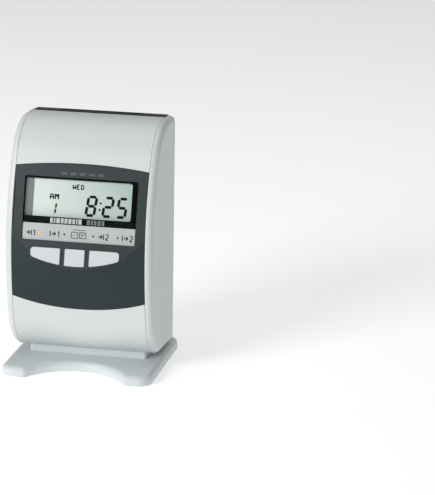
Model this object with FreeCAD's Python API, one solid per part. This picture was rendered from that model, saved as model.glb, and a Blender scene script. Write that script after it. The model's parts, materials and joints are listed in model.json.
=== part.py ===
import FreeCAD, Part
import math
import os

from FreeCAD import Vector

# Punch time clock on its stand. Millimetres, +Z up, origin at the centre of the footprint.
# The front faces -Y and the card drops into the slot at the rear of the top.

# overall sizes
body_width = 150.0
body_height = 231.7
body_depth = 95.5
body_lean = 4.0
body_setback = 14.5
stand_depth = 130.0
stand_side_reach = 1.75

# stand
foot_height = 0.8
foot_radius = 7.0
foot_inset = 15.0
stand_thickness = 10.5
stand_corner = 14.0
stand_edge_round = 5.0
stand_wall = 2.6
stand_rim = 4.0
arc_depth = 28.5
arc_half_span = 51.0
toe_round = 6.0
neck_height = 6.7
neck_side_inset = 14.5
neck_front_setback = 38.0
neck_rear_setback = 10.0
neck_corner = 2.5

# body profile
wall = 2.5
bulge_height = 101.5
lean_angle = 25.3
shoulder_radius = 50.6
lower_angle = 12.0
lower_radius = 311.0
chin_radius = 51.8
rear_top_radius = 7.0
rear_bottom_radius = 7.0
toe_radius = 8.0
edge_radius = 6.4
cheek_width = 7.0
cheek_depth = 7.0
seam = 0.35

# front cover
hinge_pin_radius = 2.0
hinge_pin_reach = 8.0
barrel_radius = 4.7
cover_rear_gap = 0.5
rail_width = 4.5
rail_depth = 4.0
rail_overlap = 2.0
rail_side_gap = 0.4
hook_width = 10.0
hook_length = 7.0
hook_thickness = 1.8

# control panel, heights above the underside of the body
panel_skin = 2.4
panel_low = 58.4
panel_high = 188.2
panel_low_sag = 10.2
panel_high_rise = 4.2
facet_height = 116.5
facet_sink = -0.4
belly_crown = 6.5
belly_low = 48.2
belly_high = 140.0

# window group, measured across and up the sloping facet
lamp_places = (-38.0, -14.3, 15.0, 39.8)
lamp_radius = 1.0
window_width = 115.0
window_height = 63.0
window_base = 0.6
window_corner = 2.5
window_play = 0.2
lens_thickness = 1.6
mask_thickness = 0.8
strip_height = 16.2
strip_margin = 0.8
strip_thickness = 0.4
mask_left_border = 8.0
mask_right_border = 5.9
display_low = 24.4
display_high = 61.4
display_sink = 6.5
display_thickness = 2.6
holder_flange = 3.0
holder_foot = 0.8
holder_side_lead = 7.0
board_thickness = 1.6
board_below = 28.0

# push buttons
button_play = 0.35
button_rise = 1.8
button_skirt = 2.0
button_centre = -1.8
button_reach = 45.0
button_high = -6.2
button_low = -23.2
button_arc = 130.0
button_gap = 4.8
button_mid_width = 20.2
button_corner = 3.4
stem_radius = 2.5
switch_height = 2.5
switch_size = 6.0
switch_gap = 1.1

# card path
card_width = 85.5
card_play = 0.6
slot_width = 6.0
trim_lip = 1.2
trim_proud = 0.6
trim_height = 9.0
trim_setback = 4.5
guide_sheet = 1.2
guide_rail = 4.0
guide_floor = 2.0

# mechanism
chassis_sheet = 1.5
chassis_half = 58.0
chassis_reach = 54.0
chassis_drop_low = 168.0
chassis_drop_high = 41.0
running_play = 0.05
roller_drop = 62.0
roller_radius = 7.0
roller_width = 12.0
roller_spread = 26.0
roller_shaft = 2.5
pinch_radius = 2.6
pinch_shaft_radius = 1.2
card_gap = 0.3
bush_wall = 1.5
bush_length = 3.5
gear_module = 1.0
gear_width = 5.0
gear_gap = 2.0
roller_teeth = 22
idler_teeth = 30
pinion_teeth = 12
rack_pinion_teeth = 10
gear_backlash = 0.3
gear_post_radius = 2.0
motor_radius = 11.0
motor_length = 26.0
motor_shaft_radius = 1.2

# print carriage and ribbon
print_drop = 118.0
rod_radius = 2.5
rod_spacing = 12.0
rod_setback = 21.5
carriage_width = 24.0
carriage_depth = 14.0
carriage_height = 22.0
rack_half = 27.5
rack_height = 5.0
rack_back = 1.6
head_width = 14.0
head_height = 10.0
head_gap = 1.2
platen_width = 92.0
platen_proud = 2.4
platen_height = 8.0
ribbon_thickness = 0.3
ribbon_height = 8.0
cassette_half = 48.5
cassette_depth = 22.0
cassette_height = 26.0
cassette_drop = 12.0
cassette_wall = 1.2
cassette_front = 35.5
spool_radius = 9.0
takeup_radius = 6.5
spool_offset = 30.0
spool_hub = 3.0

# electronics
main_board_lift = 13.0
main_board_half = 58.0
main_board_depth = 52.0
transformer_size = 34.0
battery_radius = 7.0
battery_length = 42.0
inlet_radius = 5.5
inlet_bore = 2.8
inlet_offset = 45.0
inlet_lift = 24.0

# fasteners and wall hanging
screw_radius = 1.5
screw_head = 2.8
screw_head_height = 1.7
boss_radius = 4.0
boss_height = 6.0
hang_spacing = 110.0
hang_drop = 31.0
hang_entry = 4.5
hang_slot = 2.2
hang_slot_rise = 8.0

# places worked out from the sizes above
stand_width = body_width + 2 * stand_side_reach
front_y = -stand_depth / 2 + body_setback
rear_y = front_y + body_depth
bottom_z = stand_thickness + neck_height
top_z = bottom_z + body_height
half_width = body_width / 2
display_left = -window_width / 2 + mask_left_border
display_right = window_width / 2 - mask_right_border
cover_half = half_width - cheek_width - seam
inner_half = half_width - wall
bulge_z = bottom_z + bulge_height


def box(x0, x1, y0, y1, z0, z1):
    return Part.makeBox(x1 - x0, y1 - y0, z1 - z0, Vector(x0, y0, z0))


def rod_x(radius, x0, x1, y, z):
    return Part.makeCylinder(radius, x1 - x0, Vector(x0, y, z), Vector(1, 0, 0))


def rod_y(radius, y0, y1, x, z):
    return Part.makeCylinder(radius, y1 - y0, Vector(x, y0, z), Vector(0, 1, 0))


def rod_z(radius, z0, z1, x, y):
    return Part.makeCylinder(radius, z1 - z0, Vector(x, y, z0), Vector(0, 0, 1))


def rounded_plate(width, depth, corner, z0, z1):
    plate = box(-width / 2, width / 2, -depth / 2, depth / 2, z0, z1)
    upright = [e for e in plate.Edges if abs(e.Vertexes[0].Z - e.Vertexes[1].Z) > (z1 - z0) / 2]
    return plate.makeFillet(corner, upright)


def leaned(shape):
    # the body is drawn upright, then leans back with its underside's centre staying in place
    turned = shape.copy()
    turned.rotate(Vector(0, 0, bottom_z), Vector(1, 0, 0), -body_lean)
    return turned


def save(name, shape, upright=False):
    solids = (shape if upright else leaned(shape)).Solids
    shape = solids[0] if len(solids) == 1 else Part.makeCompound(solids)
    print(name, len(solids), round(shape.Volume), shape.isValid())
    shape.exportStep("parts/" + name + ".step")


def join(pieces):
    return pieces[0].multiFuse(pieces[1:]).removeSplitter()


# the side profile: a long upper arc, a shoulder, a gentle lower arc and a chin

lean_sin = math.sin(math.radians(lean_angle))
lean_cos = math.cos(math.radians(lean_angle))
lower_sin = math.sin(math.radians(lower_angle))
lower_cos = math.cos(math.radians(lower_angle))
upper_radius = (top_z - bulge_z - shoulder_radius * (1 - lean_sin)) / lean_sin


def front_profile(offset):
    # corner points and arc midpoints of the front, inset from the outside by offset
    upper = upper_radius - offset
    shoulder = shoulder_radius - offset
    lower = lower_radius - offset
    chin = chin_radius - offset
    upper_centre = Vector(0, front_y + upper_radius, bulge_z)
    shoulder_z = bulge_z + (upper_radius - shoulder_radius) * lean_sin
    shoulder_y = front_y + upper_radius - (upper_radius - shoulder_radius) * lean_cos
    shoulder_centre = Vector(0, shoulder_y, shoulder_z)
    lower_centre = Vector(0, front_y + lower_radius, bulge_z)
    chin_y = lower_centre.y - (lower_radius - chin_radius) * lower_cos
    chin_z = bulge_z - (lower_radius - chin_radius) * lower_sin
    chin_centre = Vector(0, chin_y, chin_z)

    def point(centre, radius, angle):
        turn = math.radians(angle)
        return centre + Vector(0, -radius * math.cos(turn), radius * math.sin(turn))

    # the toe is a small arc that meets the chin inside and the flat underside below it
    toe = toe_radius - offset
    floor_z = bottom_z + offset
    toe_z = floor_z + toe
    toe_angle = math.degrees(math.asin((chin_centre.z - toe_z) / (chin - toe)))
    toe_centre = point(chin_centre, chin - toe, -toe_angle)
    edges = []
    spans = [
        (shoulder_centre, shoulder, 90.0, lean_angle),
        (upper_centre, upper, lean_angle, 0.0),
        (lower_centre, lower, 0.0, -lower_angle),
        (chin_centre, chin, -lower_angle, -toe_angle),
        (toe_centre, toe, -toe_angle, -90.0),
    ]
    for centre, radius, start, end in spans:
        first = point(centre, radius, start)
        middle = point(centre, radius, (start + end) / 2)
        last = point(centre, radius, end)
        edges.append(Part.Arc(first, middle, last).toShape())
    return edges


def profile_y(z):
    # how far forward the profile stands at height z, between the chin and the shoulder
    if z >= bulge_z:
        return front_y + upper_radius - math.sqrt(upper_radius ** 2 - (z - bulge_z) ** 2)
    return front_y + lower_radius - math.sqrt(lower_radius ** 2 - (bulge_z - z) ** 2)


def body_solid(offset, half):
    # the whole body outline, inset by offset, filled from -half to +half
    edges = front_profile(offset)
    rear = rear_y - offset
    low = bottom_z + offset
    high = top_z - offset
    front_end = min(edges[-1].Vertexes, key=lambda v: v.Point.z).Point.y
    top_end = max(edges[0].Vertexes, key=lambda v: v.Point.z).Point.y
    lower = rear_bottom_radius - offset
    upper = rear_top_radius - offset
    lower_reach = lower * (1 - math.sqrt(0.5))
    upper_reach = upper * (1 - math.sqrt(0.5))
    corners = [
        Vector(0, front_end, low),
        Vector(0, rear - lower, low),
        Vector(0, rear, low + lower),
        Vector(0, rear, high - upper),
        Vector(0, rear - upper, high),
        Vector(0, top_end, high),
    ]
    lower_middle = Vector(0, rear - lower_reach, low + lower_reach)
    upper_middle = Vector(0, rear - upper_reach, high - upper_reach)
    edges.append(Part.LineSegment(corners[0], corners[1]).toShape())
    edges.append(Part.Arc(corners[1], lower_middle, corners[2]).toShape())
    edges.append(Part.LineSegment(corners[2], corners[3]).toShape())
    edges.append(Part.Arc(corners[3], upper_middle, corners[4]).toShape())
    edges.append(Part.LineSegment(corners[4], corners[5]).toShape())
    wire = Part.Wire(Part.__sortEdges__(edges))
    face = Part.Face(wire)
    face.translate(Vector(-half, 0, 0))
    return face.extrude(Vector(2 * half, 0, 0))


# the facet ends flush with the shell at the top of the panel
facet_rise = panel_high - facet_height
facet_slope = (profile_y(bottom_z + panel_high) - front_y - facet_sink) / facet_rise


def facet_y(z):
    return front_y + facet_sink - facet_slope * (facet_height + bottom_z - z)


# the local frame of the facet: u across, v up the slope, w out of it
facet_tilt = math.degrees(math.atan(facet_slope))
facet_origin = Vector(0, facet_y(facet_height + bottom_z), facet_height + bottom_z)
facet_turn = FreeCAD.Rotation(Vector(1, 0, 0), 90 - facet_tilt)
facet_place = FreeCAD.Placement(facet_origin, facet_turn)


def on_facet(shape):
    moved = shape.copy()
    moved.Placement = facet_place.multiply(shape.Placement)
    return moved


def facet_box(u0, u1, v0, v1, w0, w1):
    return on_facet(box(u0, u1, v0, v1, w0, w1))


def facet_rounded(u0, u1, v0, v1, w0, w1, corner):
    block = box(u0, u1, v0, v1, w0, w1)
    upright = [e for e in block.Edges if abs(e.Vertexes[0].Z - e.Vertexes[1].Z) > 1e-6]
    return on_facet(block.makeFillet(corner, upright))


def half_ring(points):
    wire = Part.makePolygon([Vector(x, y, 0) for x, y in points + points[:1]])
    return Part.Face(wire)


def gear(teeth, width, phase, bore):
    # involute flanks thinned by the backlash; the first tooth is centred at the phase angle
    pitch = gear_module * teeth / 2
    base = pitch * math.cos(math.radians(20))
    tip = pitch + gear_module
    root = pitch - 1.25 * gear_module
    pressure = math.tan(math.radians(20)) - math.radians(20)
    half_tooth = math.pi / (2 * teeth) - gear_backlash / (2 * pitch)

    def flank(radius):
        if radius <= base:
            return half_tooth + pressure
        angle = math.acos(base / radius)
        return half_tooth + pressure - (math.tan(angle) - angle)

    points = []
    steps = [root, max(root, base), pitch, tip - 0.35 * gear_module, tip]
    for index in range(teeth):
        centre = phase + 2 * math.pi * index / teeth
        for radius in steps:
            points.append((radius, centre - flank(radius)))
        for radius in reversed(steps):
            points.append((radius, centre + flank(radius)))
    outline = []
    for radius, angle in points:
        spot = (radius * math.cos(angle), radius * math.sin(angle))
        if not outline or math.hypot(spot[0] - outline[-1][0], spot[1] - outline[-1][1]) > 1e-6:
            outline.append(spot)
    blank = half_ring(outline).extrude(Vector(0, 0, width))
    return blank.cut(Part.makeCylinder(bore, width))


def place_gear_x(shape, x, y, z):
    # stands the gear on an axis along +X, its own x turning to +Y and its own y to +Z
    turned = shape.copy()
    turned.Placement = FreeCAD.Placement(Vector(x, y, z), FreeCAD.Rotation(Vector(1, 1, 1), 120))
    return turned


# places inside the body
trim_rear = rear_y - trim_setback
trim_front = trim_rear - slot_width - 2 * trim_lip
slot_front = trim_front + trim_lip
slot_rear = slot_front + slot_width
card_y = (slot_front + slot_rear) / 2
hinge_y = trim_front - cover_rear_gap - barrel_radius
hinge_z = top_z - barrel_radius
toe_end = front_profile(0)[-1]
chin_end_y = max(v.Point.y for v in toe_end.Vertexes)
slot_half = card_width / 2 + card_play
rear_inside = rear_y - wall
chassis_low = top_z - chassis_drop_low
chassis_high = top_z - chassis_drop_high
chassis_front = rear_inside - chassis_reach
roller_z = top_z - roller_drop
roller_y = card_y - card_gap / 2 - roller_radius
pinch_y = card_y + card_gap / 2 + pinch_radius
print_z = top_z - print_drop
rod_y_place = card_y - rod_setback
hang_z = top_z - hang_drop
foot_x = stand_width / 2 - foot_inset
foot_y = stand_depth / 2 - foot_inset
screw_x = half_width - neck_side_inset - 2 * boss_radius
screw_y = (front_y + neck_front_setback + 2 * boss_radius, rear_y - neck_rear_setback - 2 * boss_radius)


def stand_parts():
    arc_radius = (arc_half_span ** 2 + arc_depth ** 2) / (2 * arc_depth)
    arc_y = -stand_depth / 2 + arc_depth - arc_radius
    plate = rounded_plate(stand_width, stand_depth, stand_corner, foot_height, stand_thickness)
    plate = plate.cut(rod_z(arc_radius, 0, stand_thickness + 1, 0, arc_y))
    toes = []
    for edge in plate.Edges:
        first, last = edge.Vertexes[0].Point, edge.Vertexes[-1].Point
        upright = abs(first.z - last.z) > 1
        at_toe = abs(first.y + stand_depth / 2) < 1 and abs(abs(first.x) - arc_half_span) < 2
        if upright and at_toe:
            toes.append(edge)
    plate = plate.makeFillet(toe_round, toes)
    rim = []
    for edge in plate.Edges:
        if all(abs(v.Point.z - stand_thickness) < 1e-6 for v in edge.Vertexes):
            rim.append(edge)
    plate = plate.makeFillet(stand_edge_round, rim)
    neck_x = half_width - neck_side_inset
    neck_y0 = front_y + neck_front_setback
    neck_y1 = rear_y - neck_rear_setback
    neck = rounded_plate(2 * neck_x, neck_y1 - neck_y0, neck_corner, stand_thickness - 1, bottom_z + 10)
    neck.translate(Vector(0, (neck_y0 + neck_y1) / 2, 0))
    neck = neck.cut(leaned(box(-200, 200, -200, 200, bottom_z, bottom_z + 100)))
    shell = plate.fuse(neck)
    rim_total = stand_rim + stand_edge_round / 2
    pocket = rounded_plate(stand_width - 2 * rim_total, stand_depth - 2 * rim_total, stand_corner / 2,
                           0, stand_thickness - stand_wall)
    pocket = pocket.cut(rod_z(arc_radius + rim_total + stand_edge_round / 2, -1, stand_thickness, 0, arc_y))
    hollow = box(-neck_x + stand_wall, neck_x - stand_wall, neck_y0 + stand_wall, neck_y1 - stand_wall,
                 0, bottom_z - stand_wall - math.sin(math.radians(body_lean)) * neck_y1)
    pocket = pocket.fuse(hollow)
    for x in (-screw_x, screw_x):
        for y in screw_y:
            pocket = pocket.cut(rod_z(boss_radius + 1, -1, bottom_z, x, y))
    for x in (-foot_x, foot_x):
        for y in (-foot_y, foot_y):
            pocket = pocket.cut(rod_z(foot_radius + 2, -1, stand_thickness, x, y))
    shell = shell.cut(pocket)
    feet = []
    for x in (-foot_x, foot_x):
        for y in (-foot_y, foot_y):
            foot = rod_z(foot_radius, 0, 2.5 * foot_height, x, y)
            shell = shell.cut(foot)
            feet.append(foot)
    screws = []
    head_z = stand_thickness - stand_wall - 1
    for x in (-screw_x, screw_x):
        for y in screw_y:
            shank = rod_z(screw_radius, head_z, bottom_z + wall + boss_height, x, y)
            head = rod_z(screw_head, head_z - screw_head_height, head_z, x, y)
            shell = shell.cut(leaned(rod_z(screw_radius, 0, bottom_z + 1, x, y)))
            shell = shell.cut(leaned(rod_z(screw_head + 0.3, -5, head_z, x, y)))
            screws.append(shank.fuse(head))
    save("stand", shell, upright=True)
    save("rubber_feet", Part.makeCompound(feet), upright=True)
    save("stand_screws", Part.makeCompound(screws))


def rear_case():
    outer = body_solid(0, half_width)
    side_edges = [e for e in outer.Edges if all(abs(abs(v.Point.x) - half_width) < 1e-6 for v in e.Vertexes)
                  and abs(e.Vertexes[0].Point.x - e.Vertexes[-1].Point.x) < 1e-6]
    outer = outer.makeFillet(edge_radius, side_edges)
    inside = body_solid(wall, inner_half)
    shifted = inside.copy()
    shifted.translate(Vector(0, cheek_depth, -cheek_depth))
    case = outer.cut(inside.common(shifted))
    mouth = half_width - cheek_width
    case = case.cut(box(-mouth, mouth, front_y - 5, trim_rear, bottom_z + wall, top_z + 5))
    case = case.cut(box(-mouth, mouth, front_y - 5, chin_end_y, bottom_z - 5, bottom_z + wall + 1))
    for side in (-1, 1):
        pin = rod_x(hinge_pin_radius, -hinge_pin_reach / 2, hinge_pin_reach / 2, hinge_y, hinge_z)
        pin.translate(Vector(side * mouth, 0, 0))
        case = case.cut(pin)
    for x in (-screw_x, screw_x):
        for y in screw_y:
            case = case.fuse(rod_z(boss_radius, bottom_z + wall, bottom_z + wall + boss_height, x, y))
            case = case.cut(rod_z(screw_radius, bottom_z - 1, bottom_z + wall + boss_height + 1, x, y))
    for x in (-hang_spacing / 2, hang_spacing / 2):
        case = case.cut(rod_y(hang_entry, rear_inside - 1, rear_y + 1, x, hang_z))
        slot = box(x - hang_slot, x + hang_slot, rear_inside - 1, rear_y + 1, hang_z, hang_z + hang_slot_rise)
        case = case.cut(slot.fuse(rod_y(hang_slot, rear_inside - 1, rear_y + 1, x, hang_z + hang_slot_rise)))
    for x, z in chassis_screw_places():
        case = case.cut(rod_y(screw_radius, rear_inside - 1, rear_y + 1, x, z))
        case = case.cut(rod_y(screw_head, rear_y - screw_head_height, rear_y + 1, x, z))
    inlet_z = bottom_z + inlet_lift
    case = case.cut(rod_y(inlet_radius, rear_inside - 1, rear_y + 1, inlet_offset, inlet_z))
    for x in (-main_board_half + 8, main_board_half - 8):
        for y in board_post_places():
            case = case.fuse(rod_z(boss_radius, bottom_z + wall, bottom_z + main_board_lift, x, y))
    save("rear_case", case)


def chassis_screw_places():
    x = chassis_half - 5
    return [(sx * x, z) for sx in (-1, 1) for z in (chassis_low + 10, chassis_high - 10)]


def board_post_places():
    return (rear_inside - main_board_depth + 12, rear_inside - 8)


def slot_trim():
    half = half_width - cheek_width - seam / 2
    trim = box(-half, half, trim_front, trim_rear, top_z - trim_height, top_z + trim_proud)
    rim = [e for e in trim.Edges if all(v.Point.z > top_z for v in e.Vertexes)]
    trim = trim.makeFillet(trim_proud * 0.8, rim)
    trim = trim.cut(box(-slot_half, slot_half, slot_front, slot_rear, 0, top_z + 5))
    save("slot_trim", trim)


def panel_zone(grow):
    # everything in front of and behind the panel outline, between its two arcs
    half = cover_half - grow
    low = bottom_z + panel_low
    high = bottom_z + panel_high
    y0, y1 = front_y - 30, front_y + 60
    corners = [Vector(-half, y0, low), Vector(half, y0, low), Vector(half, y0, high), Vector(-half, y0, high)]
    low_arc = Part.Arc(corners[0], Vector(0, y0, low - panel_low_sag), corners[1]).toShape()
    right = Part.LineSegment(corners[1], corners[2]).toShape()
    high_arc = Part.Arc(corners[2], Vector(0, y0, high + panel_high_rise), corners[3]).toShape()
    left = Part.LineSegment(corners[3], corners[0]).toShape()
    face = Part.Face(Part.Wire([low_arc, right, high_arc, left]))
    return face.extrude(Vector(0, y1 - y0, 0))


def belly_solid():
    # the swept profile with a crown that swells across the width below the facet
    sections = []
    low = bottom_z + belly_low
    high = bottom_z + belly_high
    back = front_y + 60
    steps = 10
    for step in range(-1, steps + 2):
        z = low + (high - low) * step / steps
        share = min(1.0, max(0.0, step / steps))
        crown = belly_crown * math.sin(math.pi * share)
        side_y = profile_y(z)
        left = Vector(-cover_half, side_y, z)
        right = Vector(cover_half, side_y, z)
        middle = Vector(0, side_y - max(crown, 0.02), z)
        arc = Part.Arc(left, middle, right).toShape()
        rest = Part.makePolygon([right, Vector(cover_half, back, z), Vector(-cover_half, back, z), left])
        sections.append(Part.Wire([arc] + rest.Edges))
    return Part.makeLoft(sections, True, False)


def panel_envelope():
    # the solid whose front is the outer face of the panel
    high_band = body_solid(0, cover_half)
    belly = belly_solid()
    body = high_band.fuse(belly)
    front = facet_box(-100, 100, -1, 120, 0, 60)
    lower_front = facet_box(-100, 100, -120, 1, 0, 60)
    body = body.cut(front.fuse(lower_front))
    return body


def button_outline(extra):
    # one prism for the three buttons together, grown by extra, in the facet frame
    left = button_centre - button_reach - extra
    right = button_centre + button_reach + extra
    high = button_high + extra
    radius = button_arc + extra
    centre_v = button_low + button_arc
    half = button_reach + extra
    low_v = centre_v - math.sqrt(radius ** 2 - half ** 2)
    start = Vector(left, low_v, 0)
    end = Vector(right, low_v, 0)
    bottom = Part.Arc(start, Vector(button_centre, centre_v - radius, 0), end).toShape()
    rest = Part.makePolygon([end, Vector(right, high, 0), Vector(left, high, 0), start])
    return Part.Face(Part.Wire([bottom] + rest.Edges))


def button_prism(index, extra, w0, w1):
    face = button_outline(extra)
    prism = face.extrude(Vector(0, 0, w1 - w0))
    prism.translate(Vector(0, 0, w0))
    mid0 = button_centre - button_mid_width / 2
    mid1 = button_centre + button_mid_width / 2
    middle_span = (mid0 - extra, mid1 + extra)
    spans = [(-100, mid0 - button_gap + extra), middle_span, (mid1 + button_gap - extra, 100)]
    u0, u1 = spans[index]
    prism = prism.common(box(u0, u1, -100, 100, w0 - 1, w1 + 1))
    upright = []
    for edge in prism.Edges:
        first, last = edge.Vertexes[0].Point, edge.Vertexes[-1].Point
        outer = (index == 0 and first.x < mid0 - 20) or (index == 2 and first.x > mid1 + 20)
        if abs(first.z - last.z) > 1e-6 and abs(first.x - last.x) < 1e-6:
            upright.append((edge, button_corner + extra if outer else 1.0 + extra))
    for edge, radius in upright:
        match = [e for e in prism.Edges if e.CenterOfMass.distanceToPoint(edge.CenterOfMass) < 1e-6]
        prism = prism.makeFillet(radius, match)
    return prism


def button_middle_u(index):
    mid0 = button_centre - button_mid_width / 2
    mid1 = button_centre + button_mid_width / 2
    left = (button_centre - button_reach + mid0 - button_gap) / 2
    right = (mid1 + button_gap + button_centre + button_reach) / 2
    return (left, button_centre, right)[index]


button_names = ("button_left", "button_center", "button_right")
stem_v = (button_high + button_low) / 2 + 2.0
holder_low_w = -panel_skin - 0.1 - (display_sink + display_thickness - panel_skin)


def buttons():
    for index, name in enumerate(button_names):
        cap = button_prism(index, 0.0, -button_skirt, button_rise)
        top = [e for e in cap.Edges if all(abs(v.Point.z - button_rise) < 1e-6 for v in e.Vertexes)]
        cap = cap.makeFillet(0.5, top)
        stem_end = holder_low_w + switch_height + switch_gap
        stem = rod_z(stem_radius, stem_end, -button_skirt, button_middle_u(index), stem_v)
        save(name, on_facet(cap.fuse(stem)))


def control_panel():
    envelope = panel_envelope()
    zone = panel_zone(0.15)
    behind = envelope.copy()
    behind.translate(Vector(0, panel_skin, 0))
    panel = envelope.common(zone).cut(behind)
    play = window_play
    panel = panel.cut(facet_rounded(-window_width / 2 - play, window_width / 2 + play, window_base - play,
                                    window_base + window_height + play, -20, 20, window_corner))
    for index in range(3):
        panel = panel.cut(on_facet(button_prism(index, button_play, -12, 20)))
    save("control_panel", panel)
    return behind


def front_cover(behind):
    skin = body_solid(0, cover_half).cut(body_solid(wall, cover_half + 1))
    keep = box(-cover_half, cover_half, front_y - 5, hinge_y, bottom_z - 1, top_z + 5)
    low_cut = box(-100, 100, chin_end_y - 2, rear_y, bottom_z - 5, bottom_z + wall + 3)
    skin = skin.common(keep).cut(low_cut)
    skin = skin.cut(panel_zone(0.0))
    band = body_solid(wall, cover_half).cut(
        body_solid(wall + rail_depth, cover_half + 1))
    band = band.common(box(-cover_half, cover_half, front_y - 5, hinge_y, bottom_z + 9, top_z))
    between = box(-cover_half + rail_width, cover_half - rail_width, -200, 200, 0, 400)
    band = band.cut(between)
    deeper = behind.copy()
    deeper.translate(Vector(0, rail_depth, 0))
    strips = []
    for side in (-1, 1):
        inner, outer = sorted((side * (cover_half - rail_width), side * (cover_half - rail_side_gap)))
        strips.append(box(inner, outer, front_y - 5, hinge_y, bottom_z, top_z))
    inside_zone = Part.makeCompound(strips).common(behind).common(panel_zone(-rail_overlap)).cut(deeper)
    outside_zone = band.cut(panel_zone(-rail_overlap))
    barrel = rod_x(barrel_radius, -cover_half, cover_half, hinge_y, hinge_z)
    cover = skin.multiFuse([inside_zone, outside_zone, barrel])
    hollow = rod_x(barrel_radius - wall, -cover_half + hinge_pin_reach + 2, cover_half - hinge_pin_reach - 2,
                   hinge_y, hinge_z)
    cover = cover.cut(hollow)
    for side in (-1, 1):
        bore = rod_x(hinge_pin_radius + running_play, -hinge_pin_reach, hinge_pin_reach, hinge_y, hinge_z)
        bore.translate(Vector(side * cover_half, 0, 0))
        cover = cover.cut(bore)
        hook_y = chin_end_y - 2
        hook = box(side * 30 - hook_width / 2, side * 30 + hook_width / 2, hook_y - 6, hook_y + hook_length,
                   bottom_z + wall + 1.2, bottom_z + wall + 1.2 + hook_thickness)
        cover = cover.fuse(hook)
    save("front_cover", cover.removeSplitter())


def hinge_pins():
    pins = []
    mouth = half_width - cheek_width
    for side in (-1, 1):
        pin = rod_x(hinge_pin_radius, -hinge_pin_reach / 2, hinge_pin_reach / 2, hinge_y, hinge_z)
        pin.translate(Vector(side * mouth, 0, 0))
        pins.append(pin)
    save("hinge_pins", Part.makeCompound(pins))


def window_group():
    half = window_width / 2
    low, high = window_base, window_base + window_height
    lens = facet_rounded(-half, half, low, high, -lens_thickness, 0, window_corner - window_play)
    save("display_window", lens)
    mask = facet_rounded(-half, half, low, high, -lens_thickness - mask_thickness, -lens_thickness,
                         window_corner - window_play)
    view = facet_rounded(display_left - holder_side_lead, display_right, display_low, display_high,
                         -10, 1, 2.0)
    mask = mask.cut(view)
    strip = facet_box(-half + strip_margin, half - 0.4, low + strip_margin, low + strip_height,
                      -lens_thickness - strip_thickness, -lens_thickness)
    mask = mask.cut(strip)
    save("window_mask", mask)
    save("label_strip", strip)
    top_w = -lens_thickness - mask_thickness
    holder = facet_box(-half - holder_flange, half + holder_flange, low - holder_foot, high + holder_flange,
                       holder_low_w, -panel_skin - 0.05)
    holder = holder.fuse(facet_box(-half, half, low, high, -5, top_w))
    glass = facet_box(display_left, display_right, display_low, display_high,
                      holder_low_w, holder_low_w + display_thickness)
    opening = [Vector(display_left, 0, holder_low_w), Vector(display_right, 0, holder_low_w),
               Vector(display_right, 0, 2), Vector(display_left - holder_side_lead, 0, 2),
               Vector(display_left - holder_side_lead, 0, top_w - 1), Vector(display_left, 0, -display_sink)]
    mouth = Part.Face(Part.makePolygon(opening + opening[:1]))
    funnel = mouth.extrude(Vector(0, display_high - display_low, 0))
    funnel.translate(Vector(0, display_low, 0))
    holder = holder.cut(on_facet(funnel))
    lamps = []
    lamp_v = window_base + strip_height / 2 - 1
    for u in lamp_places:
        lamps.append(on_facet(rod_z(lamp_radius, -display_sink, -panel_skin - 0.1, u, lamp_v)))
    holder = holder.cut(Part.makeCompound(lamps))
    save("display_holder", holder)
    save("display_glass", glass)
    board_u = half + holder_flange
    board = facet_box(-board_u, board_u, -board_below, high + holder_flange,
                      holder_low_w - board_thickness, holder_low_w)
    save("display_board", board)
    switches = []
    for index in range(3):
        u = button_middle_u(index)
        size = switch_size / 2
        block = facet_box(u - size, u + size, stem_v - size, stem_v + size, holder_low_w,
                          holder_low_w + switch_height)
        switches.append(block)
    save("key_switches", Part.makeCompound(switches))
    save("status_lamps", Part.makeCompound(lamps))


def slot_in_guide(y0, y1, z0, z1):
    return box(-slot_half, slot_half, y0, y1, z0, z1)


def card_guides():
    outer = slot_half + guide_rail
    top = top_z - trim_height
    low = chassis_low + 2
    rear = box(-outer, outer, slot_front, slot_rear + guide_sheet, low, top)
    rear = rear.cut(slot_in_guide(slot_front - 1, slot_rear, low + guide_floor, top + 1))
    roller_gap = roller_width / 2 + 2
    clear = pinch_radius + 1.0
    rear = rear.cut(box(-outer - 1, outer + 1, pinch_y - pinch_shaft_radius - 0.4, rear_y,
                        roller_z - clear, roller_z + clear))
    for x in (-roller_spread, roller_spread):
        rear = rear.cut(box(x - roller_gap, x + roller_gap, card_y, rear_y, roller_z - 6, roller_z + 6))
    half_platen = platen_width / 2 + 0.4
    rear = rear.cut(box(-half_platen, half_platen, slot_rear - platen_proud - 0.4, rear_y,
                        print_z - platen_height / 2 - 0.4, print_z + platen_height / 2 + 0.4))
    save("card_guide_rear", rear)
    front = box(-outer, outer, slot_front - guide_sheet, slot_front, low, top)
    for x in (-roller_spread, roller_spread):
        front = front.cut(box(x - roller_gap, x + roller_gap, roller_y, slot_front + 1,
                              roller_z - roller_radius - 1, roller_z + roller_radius + 1))
    window = head_height / 2 + 3
    front = front.cut(box(-slot_half, slot_half, roller_y, slot_front + 1,
                          print_z - window, print_z + window))
    sensor_z = roller_z + 20
    front = front.cut(box(-4, 4, roller_y, slot_front + 1, sensor_z - 3, sensor_z + 3))
    save("card_guide_front", front)
    sensor = box(-8, 8, slot_front - guide_sheet - 8, slot_front - guide_sheet, sensor_z - 5, sensor_z + 5)
    sensor = sensor.fuse(box(-3, 3, slot_front - guide_sheet, slot_front - 0.2, sensor_z - 2, sensor_z + 2))
    save("card_sensor", sensor)
    platen = box(-platen_width / 2, platen_width / 2, slot_rear - platen_proud, rear_inside - chassis_sheet,
                 print_z - platen_height / 2, print_z + platen_height / 2)
    save("platen", platen)


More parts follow.
